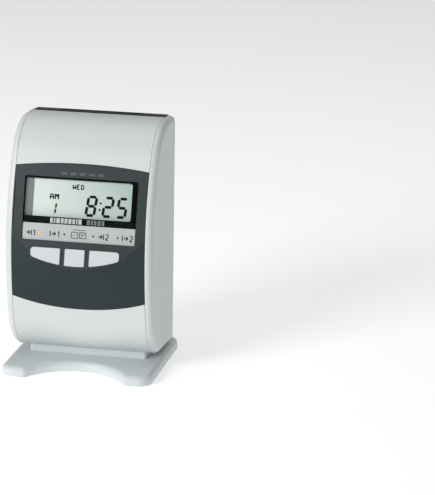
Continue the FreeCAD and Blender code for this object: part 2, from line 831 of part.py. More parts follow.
# gear train places: the idler stands in front of the roller gear and the pinion hangs below it
plate_x = chassis_half
gear_x = plate_x + gear_gap
idler_step = gear_module * (roller_teeth + idler_teeth) / 2 + 0.1
pinion_step = gear_module * (idler_teeth + pinion_teeth) / 2 + 0.1
idler_y = roller_y - idler_step
pinion_z = roller_z - pinion_step
rack_step = gear_module * rack_pinion_teeth / 2
rack_face = rod_y_place - carriage_depth / 2
rack_pitch_y = rack_face - rack_back - 1.25 * gear_module
carriage_pinion_y = rack_pitch_y - rack_step - 0.15
rack_z = print_z + 8.0
bridge_z = rack_z + gear_width + 5.0
cassette_z = print_z - cassette_drop - cassette_height
shelf_z = cassette_z
sheet = chassis_sheet


def chassis():
    sides = []
    for side in (-1, 1):
        x0 = side * plate_x - (sheet if side > 0 else 0)
        sides.append(box(x0, x0 + sheet, chassis_front, rear_inside, chassis_low, chassis_high))
    back = box(-plate_x, plate_x, rear_inside - sheet, rear_inside, chassis_low, chassis_high)
    shelf = box(-plate_x, plate_x, chassis_front + 4, slot_front - guide_sheet - 0.3,
                shelf_z - sheet, shelf_z)
    bridge = box(-plate_x, plate_x, chassis_front, rack_face - 1.5, bridge_z, bridge_z + sheet)
    frame = join(sides + [back, shelf, bridge])
    bush = roller_shaft + running_play + bush_wall
    frame = frame.cut(rod_x(bush, -100, 100, roller_y, roller_z))
    small_bush = pinch_shaft_radius + running_play
    frame = frame.cut(rod_x(small_bush, -100, 100, pinch_y, roller_z))
    clear = pinch_radius + 1
    frame = frame.cut(box(-plate_x + sheet + 3, plate_x - sheet - 3, rear_inside - sheet - 1, rear_inside + 1,
                          roller_z - clear, roller_z + clear))
    for dz in (-rod_spacing / 2, rod_spacing / 2):
        frame = frame.cut(rod_x(rod_radius, -100, 100, rod_y_place, print_z + dz))
    frame = frame.cut(rod_x(gear_post_radius, 0, 100, idler_y, roller_z))
    frame = frame.cut(rod_x(motor_shaft_radius + 0.6, 0, 100, idler_y, pinion_z))
    frame = frame.cut(rod_z(motor_shaft_radius + 0.6, bridge_z - 1, bridge_z + sheet + 1,
                            0, carriage_pinion_y))
    for x, z in chassis_screw_places():
        frame = frame.cut(rod_y(screw_radius, rear_inside - 5, rear_y, x, z))
    save("chassis", frame)
    screws = []
    for x, z in chassis_screw_places():
        shank = rod_y(screw_radius, rear_inside - sheet - 2.5, rear_y - screw_head_height, x, z)
        screws.append(shank.fuse(rod_y(screw_head, rear_y - screw_head_height, rear_y - 0.2, x, z)))
    save("chassis_screws", Part.makeCompound(screws))


def bushes():
    rings = []
    outside = roller_shaft + running_play + bush_wall
    for side in (-1, 1):
        start = side * (plate_x - sheet / 2) - bush_length / 2
        ring = rod_x(outside, start, start + bush_length, roller_y, roller_z)
        rings.append(ring.cut(rod_x(roller_shaft + running_play, start - 1, start + 9, roller_y, roller_z)))
    save("feed_bushes", Part.makeCompound(rings))


def feed_train():
    end = gear_x + gear_width
    shaft = rod_x(roller_shaft, -plate_x - 2.5, end, roller_y, roller_z)
    save("feed_shaft", shaft)
    rollers = []
    for x in (-roller_spread, roller_spread):
        tube = rod_x(roller_radius, x - roller_width / 2, x + roller_width / 2, roller_y, roller_z)
        rollers.append(tube.cut(rod_x(roller_shaft, x - 10, x + 10, roller_y, roller_z)))
    save("feed_rollers", Part.makeCompound(rollers))
    # the roller gear has a tooth pointing at the idler, which has a gap there
    save("roller_gear", place_gear_x(gear(roller_teeth, gear_width, math.pi, roller_shaft),
                                     gear_x, roller_y, roller_z))
    idler_phase = math.pi / idler_teeth
    post = gear_post_radius + running_play
    idler = gear(idler_teeth, gear_width, idler_phase, post)
    save("idler_gear", place_gear_x(idler, gear_x, idler_y, roller_z))
    idler_post = rod_x(gear_post_radius, plate_x - sheet, end + 0.4, idler_y, roller_z)
    cap = rod_x(gear_post_radius + 1, end + 0.4, end + 1.2, idler_y, roller_z)
    save("idler_post", idler_post.fuse(cap))
    down = -math.pi / 2
    idler_pitch = 2 * math.pi / idler_teeth
    lead = (down - idler_phase) % idler_pitch
    pinion_phase = math.pi / 2 + math.pi / pinion_teeth + lead * idler_teeth / pinion_teeth
    pinion = place_gear_x(gear(pinion_teeth, gear_width, pinion_phase, motor_shaft_radius),
                          gear_x, idler_y, pinion_z)
    shaft = rod_x(motor_shaft_radius, plate_x - sheet - 0.0, end, idler_y, pinion_z)
    save("feed_pinion", pinion.fuse(shaft))
    motor = rod_x(motor_radius, plate_x - sheet - motor_length, plate_x - sheet - 0.5, idler_y, pinion_z)
    motor = motor.fuse(box(plate_x - sheet - 1.5, plate_x - sheet, idler_y - motor_radius - 3,
                           idler_y + motor_radius + 3, pinion_z - 6, pinion_z + 6))
    motor = motor.cut(rod_x(motor_shaft_radius + 0.6, plate_x - sheet - 4, 100, idler_y, pinion_z))
    save("feed_motor", motor)
    save("pinch_shaft", rod_x(pinch_shaft_radius, -plate_x - 2.5, plate_x + 1.2, pinch_y, roller_z))
    rollers = []
    for x in (-roller_spread, roller_spread):
        tube = rod_x(pinch_radius, x - roller_width / 2, x + roller_width / 2, pinch_y, roller_z)
        rollers.append(tube.cut(rod_x(pinch_shaft_radius, x - 10, x + 10, pinch_y, roller_z)))
    save("pinch_rollers", Part.makeCompound(rollers))


def print_unit():
    rods = []
    for dz in (-rod_spacing / 2, rod_spacing / 2):
        rods.append(rod_x(rod_radius, -plate_x - 1, plate_x + 1, rod_y_place, print_z + dz))
    save("carriage_rods", Part.makeCompound(rods))
    half = carriage_width / 2
    back = rod_y_place + carriage_depth / 2
    block = box(-half, half, rack_face, back, print_z - carriage_height / 2, print_z + carriage_height / 2)
    rack = box(-rack_half, rack_half, rack_face - rack_back, rack_face, rack_z - rack_height / 2,
               rack_z + rack_height / 2)
    pitch = math.pi * gear_module
    count = int(rack_half / pitch)
    for index in range(-count, count + 1):
        rack = rack.fuse(rack_tooth(index * pitch))
    block = block.fuse(rack)
    for dz in (-rod_spacing / 2, rod_spacing / 2):
        block = block.cut(rod_x(rod_radius + running_play, -100, 100, rod_y_place, print_z + dz))
    save("print_carriage", block)
    ribbon_y = slot_front - guide_sheet - 0.4 - ribbon_thickness
    tip = ribbon_y - head_gap
    head = box(-head_width / 2, head_width / 2, back, tip - 4,
               print_z - head_height / 2, print_z + head_height / 2)
    nose = box(-3, 3, tip - 4, tip, print_z - 4, print_z + 4)
    save("print_head", head.fuse(nose))
    arm = cassette_half - 4
    ribbon = box(-arm, arm, ribbon_y, ribbon_y + ribbon_thickness, print_z - ribbon_height / 2,
                 print_z + ribbon_height / 2)
    save("ink_ribbon", ribbon)
    # a pinion gap faces the rack tooth at the middle
    pinion = gear(rack_pinion_teeth, gear_width - 1, math.pi / 2 + math.pi / rack_pinion_teeth,
                  motor_shaft_radius)
    pinion.translate(Vector(0, carriage_pinion_y, rack_z - (gear_width - 1) / 2))
    shaft = rod_z(motor_shaft_radius, rack_z - gear_width / 2, bridge_z + sheet, 0, carriage_pinion_y)
    save("carriage_pinion", pinion.fuse(shaft))
    motor = rod_z(motor_radius - 2, bridge_z + sheet, bridge_z + sheet + motor_length - 4,
                  0, carriage_pinion_y)
    motor = motor.cut(rod_z(motor_shaft_radius + 0.6, bridge_z, bridge_z + sheet + 3, 0, carriage_pinion_y))
    save("carriage_motor", motor)
    return ribbon_y


def rack_tooth(x):
    slope = math.tan(math.radians(20))
    pitch = math.pi * gear_module
    half = pitch / 4 - gear_backlash / 4
    root = rack_pitch_y + 1.25 * gear_module
    tip = rack_pitch_y - gear_module
    wide = half + slope * 1.25 * gear_module
    narrow = half - slope * gear_module
    points = [(x - wide, root), (x - narrow, tip), (x + narrow, tip), (x + wide, root)]
    tooth = half_ring(points).extrude(Vector(0, 0, rack_height))
    tooth.translate(Vector(0, 0, rack_z - rack_height / 2))
    return tooth


def ribbon_cassette(ribbon_y):
    front = rear_inside - cassette_front - cassette_depth / 2 + 4
    back = front + cassette_depth
    low, high = cassette_z, cassette_z + cassette_height
    half = cassette_half
    shell = box(-half, half, front, back, low, high)
    inner = box(-half + cassette_wall, half - cassette_wall, front + cassette_wall, back - cassette_wall,
                low + cassette_wall, high + 1)
    shell = shell.cut(inner)
    arm_front = back - cassette_wall
    for side in (-1, 1):
        x0 = side * half - (4 if side > 0 else 0)
        arm = box(x0, x0 + 4, arm_front, ribbon_y + ribbon_thickness, low + 6, print_z + ribbon_height / 2)
        shell = shell.fuse(arm)
    spool_y = (front + back) / 2
    for x in (-spool_offset, spool_offset):
        shell = shell.fuse(rod_z(spool_hub, low, high - 1.5, x, spool_y))
    save("ribbon_cassette", shell)
    lid = box(-half + cassette_wall, half - cassette_wall, front + cassette_wall, back - cassette_wall,
              high - cassette_wall, high)
    save("cassette_lid", lid)
    places = (("supply_spool", -spool_offset, spool_radius), ("takeup_spool", spool_offset, takeup_radius))
    for name, x, reach in places:
        spool = rod_z(reach, low + 4, high - 5, x, spool_y)
        spool = spool.fuse(rod_z(spool_radius, low + 2, low + 4, x, spool_y))
        spool = spool.fuse(rod_z(spool_radius, high - 5, high - 3.5, x, spool_y))
        save(name, spool.cut(rod_z(spool_hub + running_play, low, high, x, spool_y)))


def electronics():
    z = bottom_z + main_board_lift
    y0 = rear_inside - main_board_depth
    y1 = rear_inside - 1.5
    save("main_board", box(-main_board_half, main_board_half, y0, y1, z, z + board_thickness))
    top = z + board_thickness
    core = transformer_size
    x0 = -main_board_half + 12
    iron = box(x0, x0 + core, y0 + 6, y0 + 6 + 0.8 * core, top, top + 0.8 * core)
    save("transformer_core", iron)
    coil = box(x0 + core / 4, x0 + 3 * core / 4, y0 + 2, y0 + 6, top + 3, top + 0.8 * core - 3)
    coil = coil.fuse(box(x0 + core / 4, x0 + 3 * core / 4, y0 + 6 + 0.8 * core, y0 + 10 + 0.8 * core,
                         top + 3, top + 0.8 * core - 3))
    save("transformer_coil", coil)
    x = 4.0
    battery = rod_x(battery_radius, x, x + battery_length, y0 + 12, top + battery_radius)
    save("backup_battery", battery)
    save("buzzer", rod_z(7.0, top, top + 6, x + 8, y0 + 32))
    chips = []
    for index in range(3):
        left = x + 20 + 11 * index
        chips.append(box(left, left + 8, y0 + 24, y0 + 34, top, top + 1.8))
    for index in range(3):
        chips.append(rod_z(2.6, top, top + 9, x + 22 + 9 * index, y0 + 37.5))
    save("board_parts", Part.makeCompound(chips))
    inlet_z = bottom_z + inlet_lift
    inlet = rod_y(inlet_radius, rear_inside - 11, rear_y, inlet_offset, inlet_z)
    inlet = inlet.fuse(rod_y(inlet_radius + 1.5, rear_inside - 1.5, rear_inside, inlet_offset, inlet_z))
    inlet = inlet.cut(rod_y(inlet_bore, rear_y - 9.5, rear_y + 1, inlet_offset, inlet_z))
    inlet = inlet.fuse(rod_y(0.8, rear_y - 10, rear_y - 1, inlet_offset, inlet_z))
    save("power_inlet", inlet)


os.makedirs("parts", exist_ok=True)
stand_parts()
rear_case()
slot_trim()
cover_back = control_panel()
front_cover(cover_back)
hinge_pins()
buttons()
window_group()
card_guides()
chassis()
bushes()
feed_train()
ribbon_cassette(print_unit())
electronics()
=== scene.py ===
import json
import math

import bmesh
import bpy
from mathutils import Matrix, Vector
from mathutils.bvhtree import BVHTree


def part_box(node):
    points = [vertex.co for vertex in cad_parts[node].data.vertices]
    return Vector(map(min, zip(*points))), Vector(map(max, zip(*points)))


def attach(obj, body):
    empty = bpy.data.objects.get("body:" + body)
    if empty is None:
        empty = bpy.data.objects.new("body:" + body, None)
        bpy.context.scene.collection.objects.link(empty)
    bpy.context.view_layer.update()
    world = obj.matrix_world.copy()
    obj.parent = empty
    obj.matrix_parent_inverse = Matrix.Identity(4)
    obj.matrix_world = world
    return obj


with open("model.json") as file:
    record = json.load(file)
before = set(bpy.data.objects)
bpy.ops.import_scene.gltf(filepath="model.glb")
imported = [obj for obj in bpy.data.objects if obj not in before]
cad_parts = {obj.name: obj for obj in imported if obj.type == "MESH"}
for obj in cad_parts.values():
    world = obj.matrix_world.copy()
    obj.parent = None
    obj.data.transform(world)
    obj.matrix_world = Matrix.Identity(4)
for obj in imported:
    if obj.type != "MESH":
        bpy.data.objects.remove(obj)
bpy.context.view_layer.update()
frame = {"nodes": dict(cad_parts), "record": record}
nodes = frame["nodes"]

MM = 0.001

# The sloping facet carries the window and the buttons. A place on it is (u, v) in millimetres: u across
# from the middle, v up the slope. A height over it is along OUTWARD.
FACET_SLOPE = 0.31
FACET_TILT = math.atan(FACET_SLOPE)
ACROSS = Vector((1, 0, 0))
UP_SLOPE = Vector((0, math.sin(FACET_TILT), math.cos(FACET_TILT)))
OUTWARD = Vector((0, -math.cos(FACET_TILT), math.sin(FACET_TILT)))
WINDOW_LOW = 0.6
WINDOW_THICKNESS = 1.6


def facet_origin():
    # The window's front face lies in the facet. The lowest corner of the window's box is on its back
    # face, and the most forward one on its front face, WINDOW_LOW up the slope.
    low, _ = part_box("display_window")
    front_z = low[2] + WINDOW_THICKNESS * MM * math.sin(FACET_TILT)
    return Vector((0, low[1], front_z)) - UP_SLOPE * (WINDOW_LOW * MM)


FACET = facet_origin()
FACET_MATRIX = Matrix((
    (ACROSS.x, UP_SLOPE.x, OUTWARD.x, FACET.x),
    (ACROSS.y, UP_SLOPE.y, OUTWARD.y, FACET.y),
    (ACROSS.z, UP_SLOPE.z, OUTWARD.z, FACET.z),
    (0, 0, 0, 1),
))


# ---------------------------------------------------------------- camera

CAMERA_PLACE = (0.6742, -2.3635, 0.8973)
CAMERA_PITCH = math.radians(17.583)
CAMERA_YAW = math.radians(12.944)
CAMERA_LENS = 187.85
SENSOR_WIDTH = 36
FARTHEST_SEEN = 20


def add_camera():
    data = bpy.data.cameras.new("camera")
    camera = bpy.data.objects.new("camera", data)
    bpy.context.collection.objects.link(camera)
    camera.location = CAMERA_PLACE
    camera.rotation_euler = (math.pi / 2 - CAMERA_PITCH, 0, CAMERA_YAW)
    data.sensor_width = SENSOR_WIDTH
    data.lens = CAMERA_LENS
    data.clip_end = FARTHEST_SEEN
    bpy.context.scene.camera = camera


add_camera()


# ---------------------------------------------------------------- materials

def new_material(name):
    material = bpy.data.materials.new(name)
    material.use_nodes = True
    tree = material.node_tree
    shader = tree.nodes["Principled BSDF"]
    return material, tree, shader


def noise(tree, scale, detail, roughness=0.6, stretch=None):
    # a noise pattern in the object's own coordinates, which stretch scales by axis
    coordinates = tree.nodes.new("ShaderNodeTexCoord")
    vector = coordinates.outputs["Object"]
    if stretch:
        mapping = tree.nodes.new("ShaderNodeMapping")
        mapping.inputs["Scale"].default_value = stretch
        tree.links.new(vector, mapping.inputs["Vector"])
        vector = mapping.outputs["Vector"]
    node = tree.nodes.new("ShaderNodeTexNoise")
    node.inputs["Scale"].default_value = scale
    node.inputs["Detail"].default_value = detail
    node.inputs["Roughness"].default_value = roughness
    tree.links.new(vector, node.inputs["Vector"])
    return node.outputs["Fac"]


def ramp(tree, source, low, high, low_at=0.3, high_at=0.7):
    node = tree.nodes.new("ShaderNodeMapRange")
    node.inputs["From Min"].default_value = low_at
    node.inputs["From Max"].default_value = high_at
    node.inputs["To Min"].default_value = low
    node.inputs["To Max"].default_value = high
    tree.links.new(source, node.inputs["Value"])
    return node.outputs["Result"]


def mix_colour(tree, factor, first, second):
    node = tree.nodes.new("ShaderNodeMix")
    node.data_type = "RGBA"
    node.inputs["A"].default_value = (*first, 1)
    node.inputs["B"].default_value = (*second, 1)
    tree.links.new(factor, node.inputs["Factor"])
    return node.outputs["Result"]


def drifting_colour(tree, shader, pattern, first, second):
    mixed = mix_colour(tree, ramp(tree, pattern, 0, 1), first, second)
    tree.links.new(mixed, shader.inputs["Base Color"])


def uneven_gloss(tree, shader, pattern, low, high):
    tree.links.new(ramp(tree, pattern, low, high), shader.inputs["Roughness"])


def relief_bump(tree, shader, pattern, strength, distance):
    node = tree.nodes.new("ShaderNodeBump")
    node.inputs["Strength"].default_value = strength
    node.inputs["Distance"].default_value = distance
    tree.links.new(pattern, node.inputs["Height"])
    tree.links.new(node.outputs["Normal"], shader.inputs["Normal"])


def moulded(name, colour, roughness, grain, relief, spread, shine=0.5):
    # moulded plastic: slow colour drift, fine spark-eroded grain, uneven gloss
    material, tree, shader = new_material(name)
    lighter = tuple(min(1.0, c * (1 + spread)) for c in colour)
    darker = tuple(c * (1 - spread) for c in colour)
    drifting_colour(tree, shader, noise(tree, scale=14.0, detail=3.0), darker, lighter)
    uneven_gloss(tree, shader, noise(tree, scale=55.0, detail=5.0), roughness - 0.05, roughness + 0.06)
    relief_bump(tree, shader, noise(tree, scale=grain, detail=2.0), strength=relief, distance=0.00008)
    shader.inputs["Specular IOR Level"].default_value = shine
    return material


def metal(name, colour, roughness, stretch, relief=0.08):
    # drawn or rolled metal: streaks along one direction
    material, tree, shader = new_material(name)
    shader.inputs["Metallic"].default_value = 1.0
    streaks = noise(tree, scale=8.0, detail=6.0, roughness=0.5, stretch=stretch)
    darker = tuple(c * 0.8 for c in colour)
    drifting_colour(tree, shader, streaks, darker, colour)
    uneven_gloss(tree, shader, streaks, roughness - 0.08, roughness + 0.12)
    relief_bump(tree, shader, streaks, strength=relief, distance=0.00005)
    return material


def clear_pane(name):
    # thin clear acrylic with faint smears, mostly see-through
    material, tree, shader = new_material(name)
    shader.inputs["Alpha"].default_value = 0.06
    smear = noise(tree, scale=30.0, detail=4.0)
    drifting_colour(tree, shader, smear, (0.010, 0.012, 0.012), (0.016, 0.018, 0.018))
    uneven_gloss(tree, shader, smear, 0.04, 0.09)
    return material


def liquid_crystal(name):
    # grey green cell with painted light: lit pale on its left and in painted shade on its right, with a faint
    # polariser grain
    material, tree, shader = new_material(name)
    coordinates = tree.nodes.new("ShaderNodeTexCoord")
    split = tree.nodes.new("ShaderNodeSeparateXYZ")
    tree.links.new(coordinates.outputs["Object"], split.inputs["Vector"])
    # painted light falloff across the cell: the colour fades from lit on the left to shaded on the right
    across = ramp(tree, split.outputs["X"], 0, 1, low_at=-0.045, high_at=0.05)
    painted_light_colour = mix_colour(tree, across, (0.90, 0.99, 0.93), (0.56, 0.70, 0.63))
    grain = noise(tree, scale=2600.0, detail=2.0)
    speckle = tree.nodes.new("ShaderNodeMix")
    speckle.data_type = "RGBA"
    speckle.blend_type = "MULTIPLY"
    speckle.inputs["Factor"].default_value = 0.12
    tree.links.new(painted_light_colour, speckle.inputs["A"])
    tree.links.new(grain, speckle.inputs["B"])
    tree.links.new(speckle.outputs["Result"], shader.inputs["Base Color"])
    uneven_gloss(tree, shader, grain, 0.28, 0.4)
    return material


# plastic, rubber, paint and ink: colour, roughness, grain, relief, spread of the colour, shine if not 0.5
MOULDED_LOOKS = {
    "shell_grey": ((0.63, 0.665, 0.665), 0.42, 2200, 0.10, 0.012),
    "stand_grey": ((0.66, 0.71, 0.72), 0.42, 2200, 0.10, 0.015),
    "panel_slate": ((0.009, 0.020, 0.021), 0.42, 2600, 0.16, 0.06, 0.36),
    "trim_black": ((0.010, 0.012, 0.012), 0.35, 2400, 0.12, 0.1),
    "mask_black": ((0.002, 0.004, 0.004), 0.16, 900, 0.02, 0.1, 0.15),
    "label_silver": ((0.50, 0.54, 0.54), 0.38, 1500, 0.04, 0.03),
    "holder_grey": ((0.30, 0.34, 0.34), 0.5, 1800, 0.08, 0.03),
    "button_white": ((0.58, 0.61, 0.62), 0.40, 2400, 0.10, 0.012),
    "lamp_orange": ((0.9, 0.42, 0.16), 0.25, 900, 0.02, 0.05),
    # painted light: the glow of the lit lamp on the strip around it
    "lamp_glow": ((0.80, 0.52, 0.36), 0.35, 900, 0.02, 0.03),
    "board_green": ((0.012, 0.11, 0.045), 0.3, 700, 0.12, 0.2),
    "component_black": ((0.012, 0.012, 0.013), 0.45, 1400, 0.1, 0.2),
    "guide_grey": ((0.035, 0.038, 0.040), 0.45, 1800, 0.12, 0.08),
    "gear_white": ((0.62, 0.60, 0.53), 0.38, 1500, 0.08, 0.05),
    "rubber_black": ((0.018, 0.018, 0.018), 0.75, 1600, 0.3, 0.15),
    "ribbon_ink": ((0.012, 0.010, 0.035), 0.8, 3800, 0.5, 0.2),
    "battery_wrap": ((0.03, 0.12, 0.28), 0.25, 400, 0.1, 0.08),
    "lcd_ink": ((0.002, 0.004, 0.004), 0.4, 1500, 0.02, 0.1, 0.08),
    "print_grey": ((0.012, 0.015, 0.016), 0.4, 1500, 0.02, 0.1, 0.2),
    "badge_pale": ((0.50, 0.54, 0.54), 0.4, 1500, 0.02, 0.05),
    "badge_dim": ((0.13, 0.15, 0.15), 0.4, 1500, 0.02, 0.05),
    "dash_grey": ((0.055, 0.068, 0.070), 0.5, 1500, 0.02, 0.05),
}

# metal: colour, roughness, how tightly the streaks repeat along each axis, relief if not 0.08
METAL_LOOKS = {
    "steel_sheet": ((0.55, 0.56, 0.58), 0.36, (3, 3, 220)),
    "steel_rod": ((0.62, 0.62, 0.64), 0.20, (2, 300, 300)),
    "brass_bush": ((0.66, 0.46, 0.18), 0.3, (200, 200, 3)),
    "motor_case": ((0.45, 0.46, 0.48), 0.34, (3, 160, 160)),
    "coil_copper": ((0.50, 0.22, 0.09), 0.36, (2, 2, 900), 0.4),
    "iron_core": ((0.16, 0.16, 0.17), 0.5, (900, 2, 2), 0.4),
}

MATERIALS = {
    "window_clear": clear_pane("window_clear_look"),
    "lcd_green": liquid_crystal("lcd_green_look"),
}
for look_name, look in MOULDED_LOOKS.items():
    MATERIALS[look_name] = moulded(look_name + "_look", *look)
for look_name, look in METAL_LOOKS.items():
    MATERIALS[look_name] = metal(look_name + "_look", *look)

node_slot = {row["node"]: row["material_slot"] for row in frame["record"]["subparts"]}
for node_name, node_object in nodes.items():
    node_object.data.materials.clear()
    node_object.data.materials.append(MATERIALS[node_slot[node_name]])


# ---------------------------------------------------------------- drawing flat marks on the facet

def facet_piece(name, body, material, build, depth_mm, lift_mm):
    # a thin raised mark over the facet: build(mesh) draws flat faces at (u, v)
    mesh = bmesh.new()
    build(mesh)
    bmesh.ops.remove_doubles(mesh, verts=mesh.verts, dist=1e-5)
    grown = bmesh.ops.extrude_face_region(mesh, geom=list(mesh.faces))
    lifted = [v for v in grown["geom"] if isinstance(v, bmesh.types.BMVert)]
    bmesh.ops.translate(mesh, verts=lifted, vec=(0, 0, depth_mm))
    bmesh.ops.recalc_face_normals(mesh, faces=mesh.faces)
    bmesh.ops.translate(mesh, verts=mesh.verts, vec=(0, 0, lift_mm))
    bmesh.ops.scale(mesh, verts=mesh.verts, vec=(MM, MM, MM))
    bmesh.ops.transform(mesh, matrix=FACET_MATRIX, verts=mesh.verts)
    data = bpy.data.meshes.new(name)
    mesh.to_mesh(data)
    mesh.free()
    piece = bpy.data.objects.new(name, data)
    bpy.context.collection.objects.link(piece)
    data.materials.append(MATERIALS[material])
    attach(piece, body)


def polygon(mesh, points):
    verts = [mesh.verts.new((x, y, 0)) for x, y in points]
    mesh.faces.new(verts)


def rectangle(mesh, left, low, right, high):
    polygon(mesh, [(left, low), (right, low), (right, high), (left, high)])


def disc(mesh, x, y, radius, steps=20):
    turn = 2 * math.pi / steps
    polygon(mesh, [(x + radius * math.cos(turn * i), y + radius * math.sin(turn * i)) for i in range(steps)])


def bar(mesh, x0, y0, x1, y1, width, point):
    # a straight stroke whose ends come to a point, which is point times the width long
    along = Vector((x1 - x0, y1 - y0))
    length = along.length
    along.normalize()
    side = Vector((-along.y, along.x)) * (width / 2)
    inset = along * min(width * point, length / 2)
    start, end = Vector((x0, y0)), Vector((x1, y1))
    corners = [start, start + inset + side, end - inset + side, end, end - inset - side, start + inset - side]
    polygon(mesh, [(c.x, c.y) for c in corners])


SEGMENTS = {"1": "bc", "2": "abged", "5": "afgcd", "8": "abcdefg"}
SEGMENT_GAP = 0.18
SEGMENT_POINT = 0.38
SLANT = math.tan(math.radians(7))


def seven_segment(mesh, digit, x, y, width, height, stroke):
    gap = stroke * SEGMENT_GAP
    left, right = 0.0, width
    low, middle, high = 0.0, height / 2, height
    ends = {
        "a": (left, high, right, high), "g": (left, middle, right, middle), "d": (left, low, right, low),
        "f": (left, high, left, middle), "b": (right, high, right, middle),
        "e": (left, middle, left, low), "c": (right, middle, right, low),
    }
    for name in SEGMENTS[digit]:
        x0, y0, x1, y1 = ends[name]
        if y0 == y1:
            x0, x1 = x0 + gap, x1 - gap
        else:
            y0, y1 = y0 - gap, y1 + gap
        bar(mesh, x + x0 + y0 * SLANT, y + y0, x + x1 + y1 * SLANT, y + y1, stroke, SEGMENT_POINT)


# the strokes of each character in a unit square, from (x, y) to (x, y)
LETTERS = {
    "A": [(0, 0, 0, 0.7), (0, 0.7, 0.5, 1), (0.5, 1, 1, 0.7), (1, 0.7, 1, 0), (0, 0.42, 1, 0.42)],
    "M": [(0, 0, 0, 1), (0, 1, 0.5, 0.5), (0.5, 0.5, 1, 1), (1, 1, 1, 0)],
    "W": [(0, 1, 0, 0), (0, 0, 0.5, 0.5), (0.5, 0.5, 1, 0), (1, 0, 1, 1)],
    "E": [(1, 1, 0, 1), (0, 1, 0, 0), (0, 0, 1, 0), (0, 0.5, 0.8, 0.5)],
    "D": [(0, 0, 0, 1), (0, 1, 0.6, 1), (0.6, 1, 1, 0.7), (1, 0.7, 1, 0.3), (1, 0.3, 0.6, 0), (0.6, 0, 0, 0)],
}
PLAIN_DIGITS = {
    "1": [(0.1, 0.78, 0.5, 1), (0.5, 1, 0.5, 0)],
    "2": [(0, 0.85, 0.25, 1), (0.25, 1, 0.75, 1), (0.75, 1, 1, 0.8), (1, 0.8, 1, 0.62), (1, 0.62, 0, 0),
          (0, 0, 1, 0)],
}
LETTER_POINT = 0.2
BLUNT = 0.1
POINTED = 0.3


def stroke_letter(mesh, strokes, x, y, width, height, weight):
    for x0, y0, x1, y1 in strokes:
        bar(mesh, x + x0 * width, y + y0 * height, x + x1 * width, y + y1 * height, weight, LETTER_POINT)


def word(mesh, text, x, y, width, height, gap, weight):
    for letter in text:
        stroke_letter(mesh, LETTERS[letter], x, y, width, height, weight)
        x += width + gap


# ---------------------------------------------------------------- what the display shows

DISPLAY_FACE = -6.5
INK_DEPTH = 0.06
TIME_DIGITS = (("8", 4.6), ("2", 21.6), ("5", 35.8))
DIGIT_LOW = 28.0
DIGIT_HIGH = 18.2
DIGIT_WIDTH = 8.2
DIGIT_STROKE = 2.8
COLON_LEFT = 17.6
COLON_RADIUS = 1.05


def draw_time(mesh):
    for digit, x in TIME_DIGITS:
        seven_segment(mesh, digit, x, DIGIT_LOW, DIGIT_WIDTH, DIGIT_HIGH, DIGIT_STROKE)
    for height in (0.33, 0.68):
        rise = DIGIT_HIGH * height
        disc(mesh, COLON_LEFT + rise * SLANT, DIGIT_LOW + rise, COLON_RADIUS)


def draw_small(mesh):
    word(mesh, "AM", x=-32.4, y=41.7, width=3.2, height=5.4, gap=1.9, weight=1.3)
    word(mesh, "WED", x=-9.9, y=52.8, width=2.6, height=4.3, gap=1.6, weight=1.05)
    seven_segment(mesh, "1", x=-31.4, y=27.6, width=4.4, height=10.4, stroke=1.7)


facet_piece("display_time_segments", "cover", "lcd_ink", draw_time, INK_DEPTH, DISPLAY_FACE)
facet_piece("display_small_segments", "cover", "lcd_ink", draw_small, INK_DEPTH, DISPLAY_FACE)


# ---------------------------------------------------------------- print on the back of the window

PRINT_FACE = -1.5
PRINT_DEPTH = 0.03
ON_STRIP = PRINT_FACE + 0.05
ON_GLOW = PRINT_FACE + 0.10
STRIP_LEFT, STRIP_RIGHT = -57.2, 57.1
STRIP_LOW, STRIP_HIGH = 0.9, 17.4

SYMBOL_LOW = 5.0
SYMBOL_HIGH = 5.4
SYMBOL_MIDDLE = SYMBOL_LOW + SYMBOL_HIGH / 2
SYMBOL_STROKE = 1.05
ENTRY_MARKS = ((-53.6, False, "1"), (-28.8, True, "1"), (20.0, False, "2"), (44.6, True, "2"))
ARROW_LENGTH = 4.3
ARROW_SETBACK = 0.4
ARROW_HEAD = SYMBOL_HIGH * 0.36
STOP_GAP = 1.3
DIGIT_OFFSET = 7.6
SYMBOL_DIGIT_WIDTH = 2.7
DOTS = (-14.3, 15.0, 39.8)
DOT_RADIUS = 1.0

CARD_LEFTS = (-7.0, 1.2)
CARD_WIDTH = 6.4
CARD_MARGIN = 0.2
CARD_HOLES = (-5.4, -3.8, -2.2)
CARD_STROKE = 0.7
CAPTION_RISE = 2.2

BLOCK_LOW, BLOCK_HIGH = 18.4, 23.4
PALE_BLOCKS = (2.8, 1.6, 3.8, 2.8, 3.0, 3.2, 2.8, 1.4, 3.4)
DIM_BLOCKS = (3.0, 2.2, 2.8, 3.2, 2.6)


def draw_strip(mesh):
    rectangle(mesh, STRIP_LEFT, STRIP_LOW, STRIP_RIGHT, STRIP_HIGH)


def entry_mark(mesh, x, leaving):
    # an arrow and an upright bar: to enter, the arrow points at the bar; to leave, away from it
    shaft = x + STOP_GAP if leaving else x
    stop = x if leaving else x + ARROW_LENGTH + STOP_GAP
    tip = shaft + ARROW_LENGTH
    bar(mesh, shaft, SYMBOL_MIDDLE, tip - ARROW_SETBACK, SYMBOL_MIDDLE, SYMBOL_STROKE, BLUNT)
    bar(mesh, tip - ARROW_HEAD, SYMBOL_MIDDLE + ARROW_HEAD, tip, SYMBOL_MIDDLE, SYMBOL_STROKE, POINTED)
    bar(mesh, tip - ARROW_HEAD, SYMBOL_MIDDLE - ARROW_HEAD, tip, SYMBOL_MIDDLE, SYMBOL_STROKE, POINTED)
    bar(mesh, stop, SYMBOL_LOW, stop, SYMBOL_LOW + SYMBOL_HIGH, SYMBOL_STROKE, BLUNT)


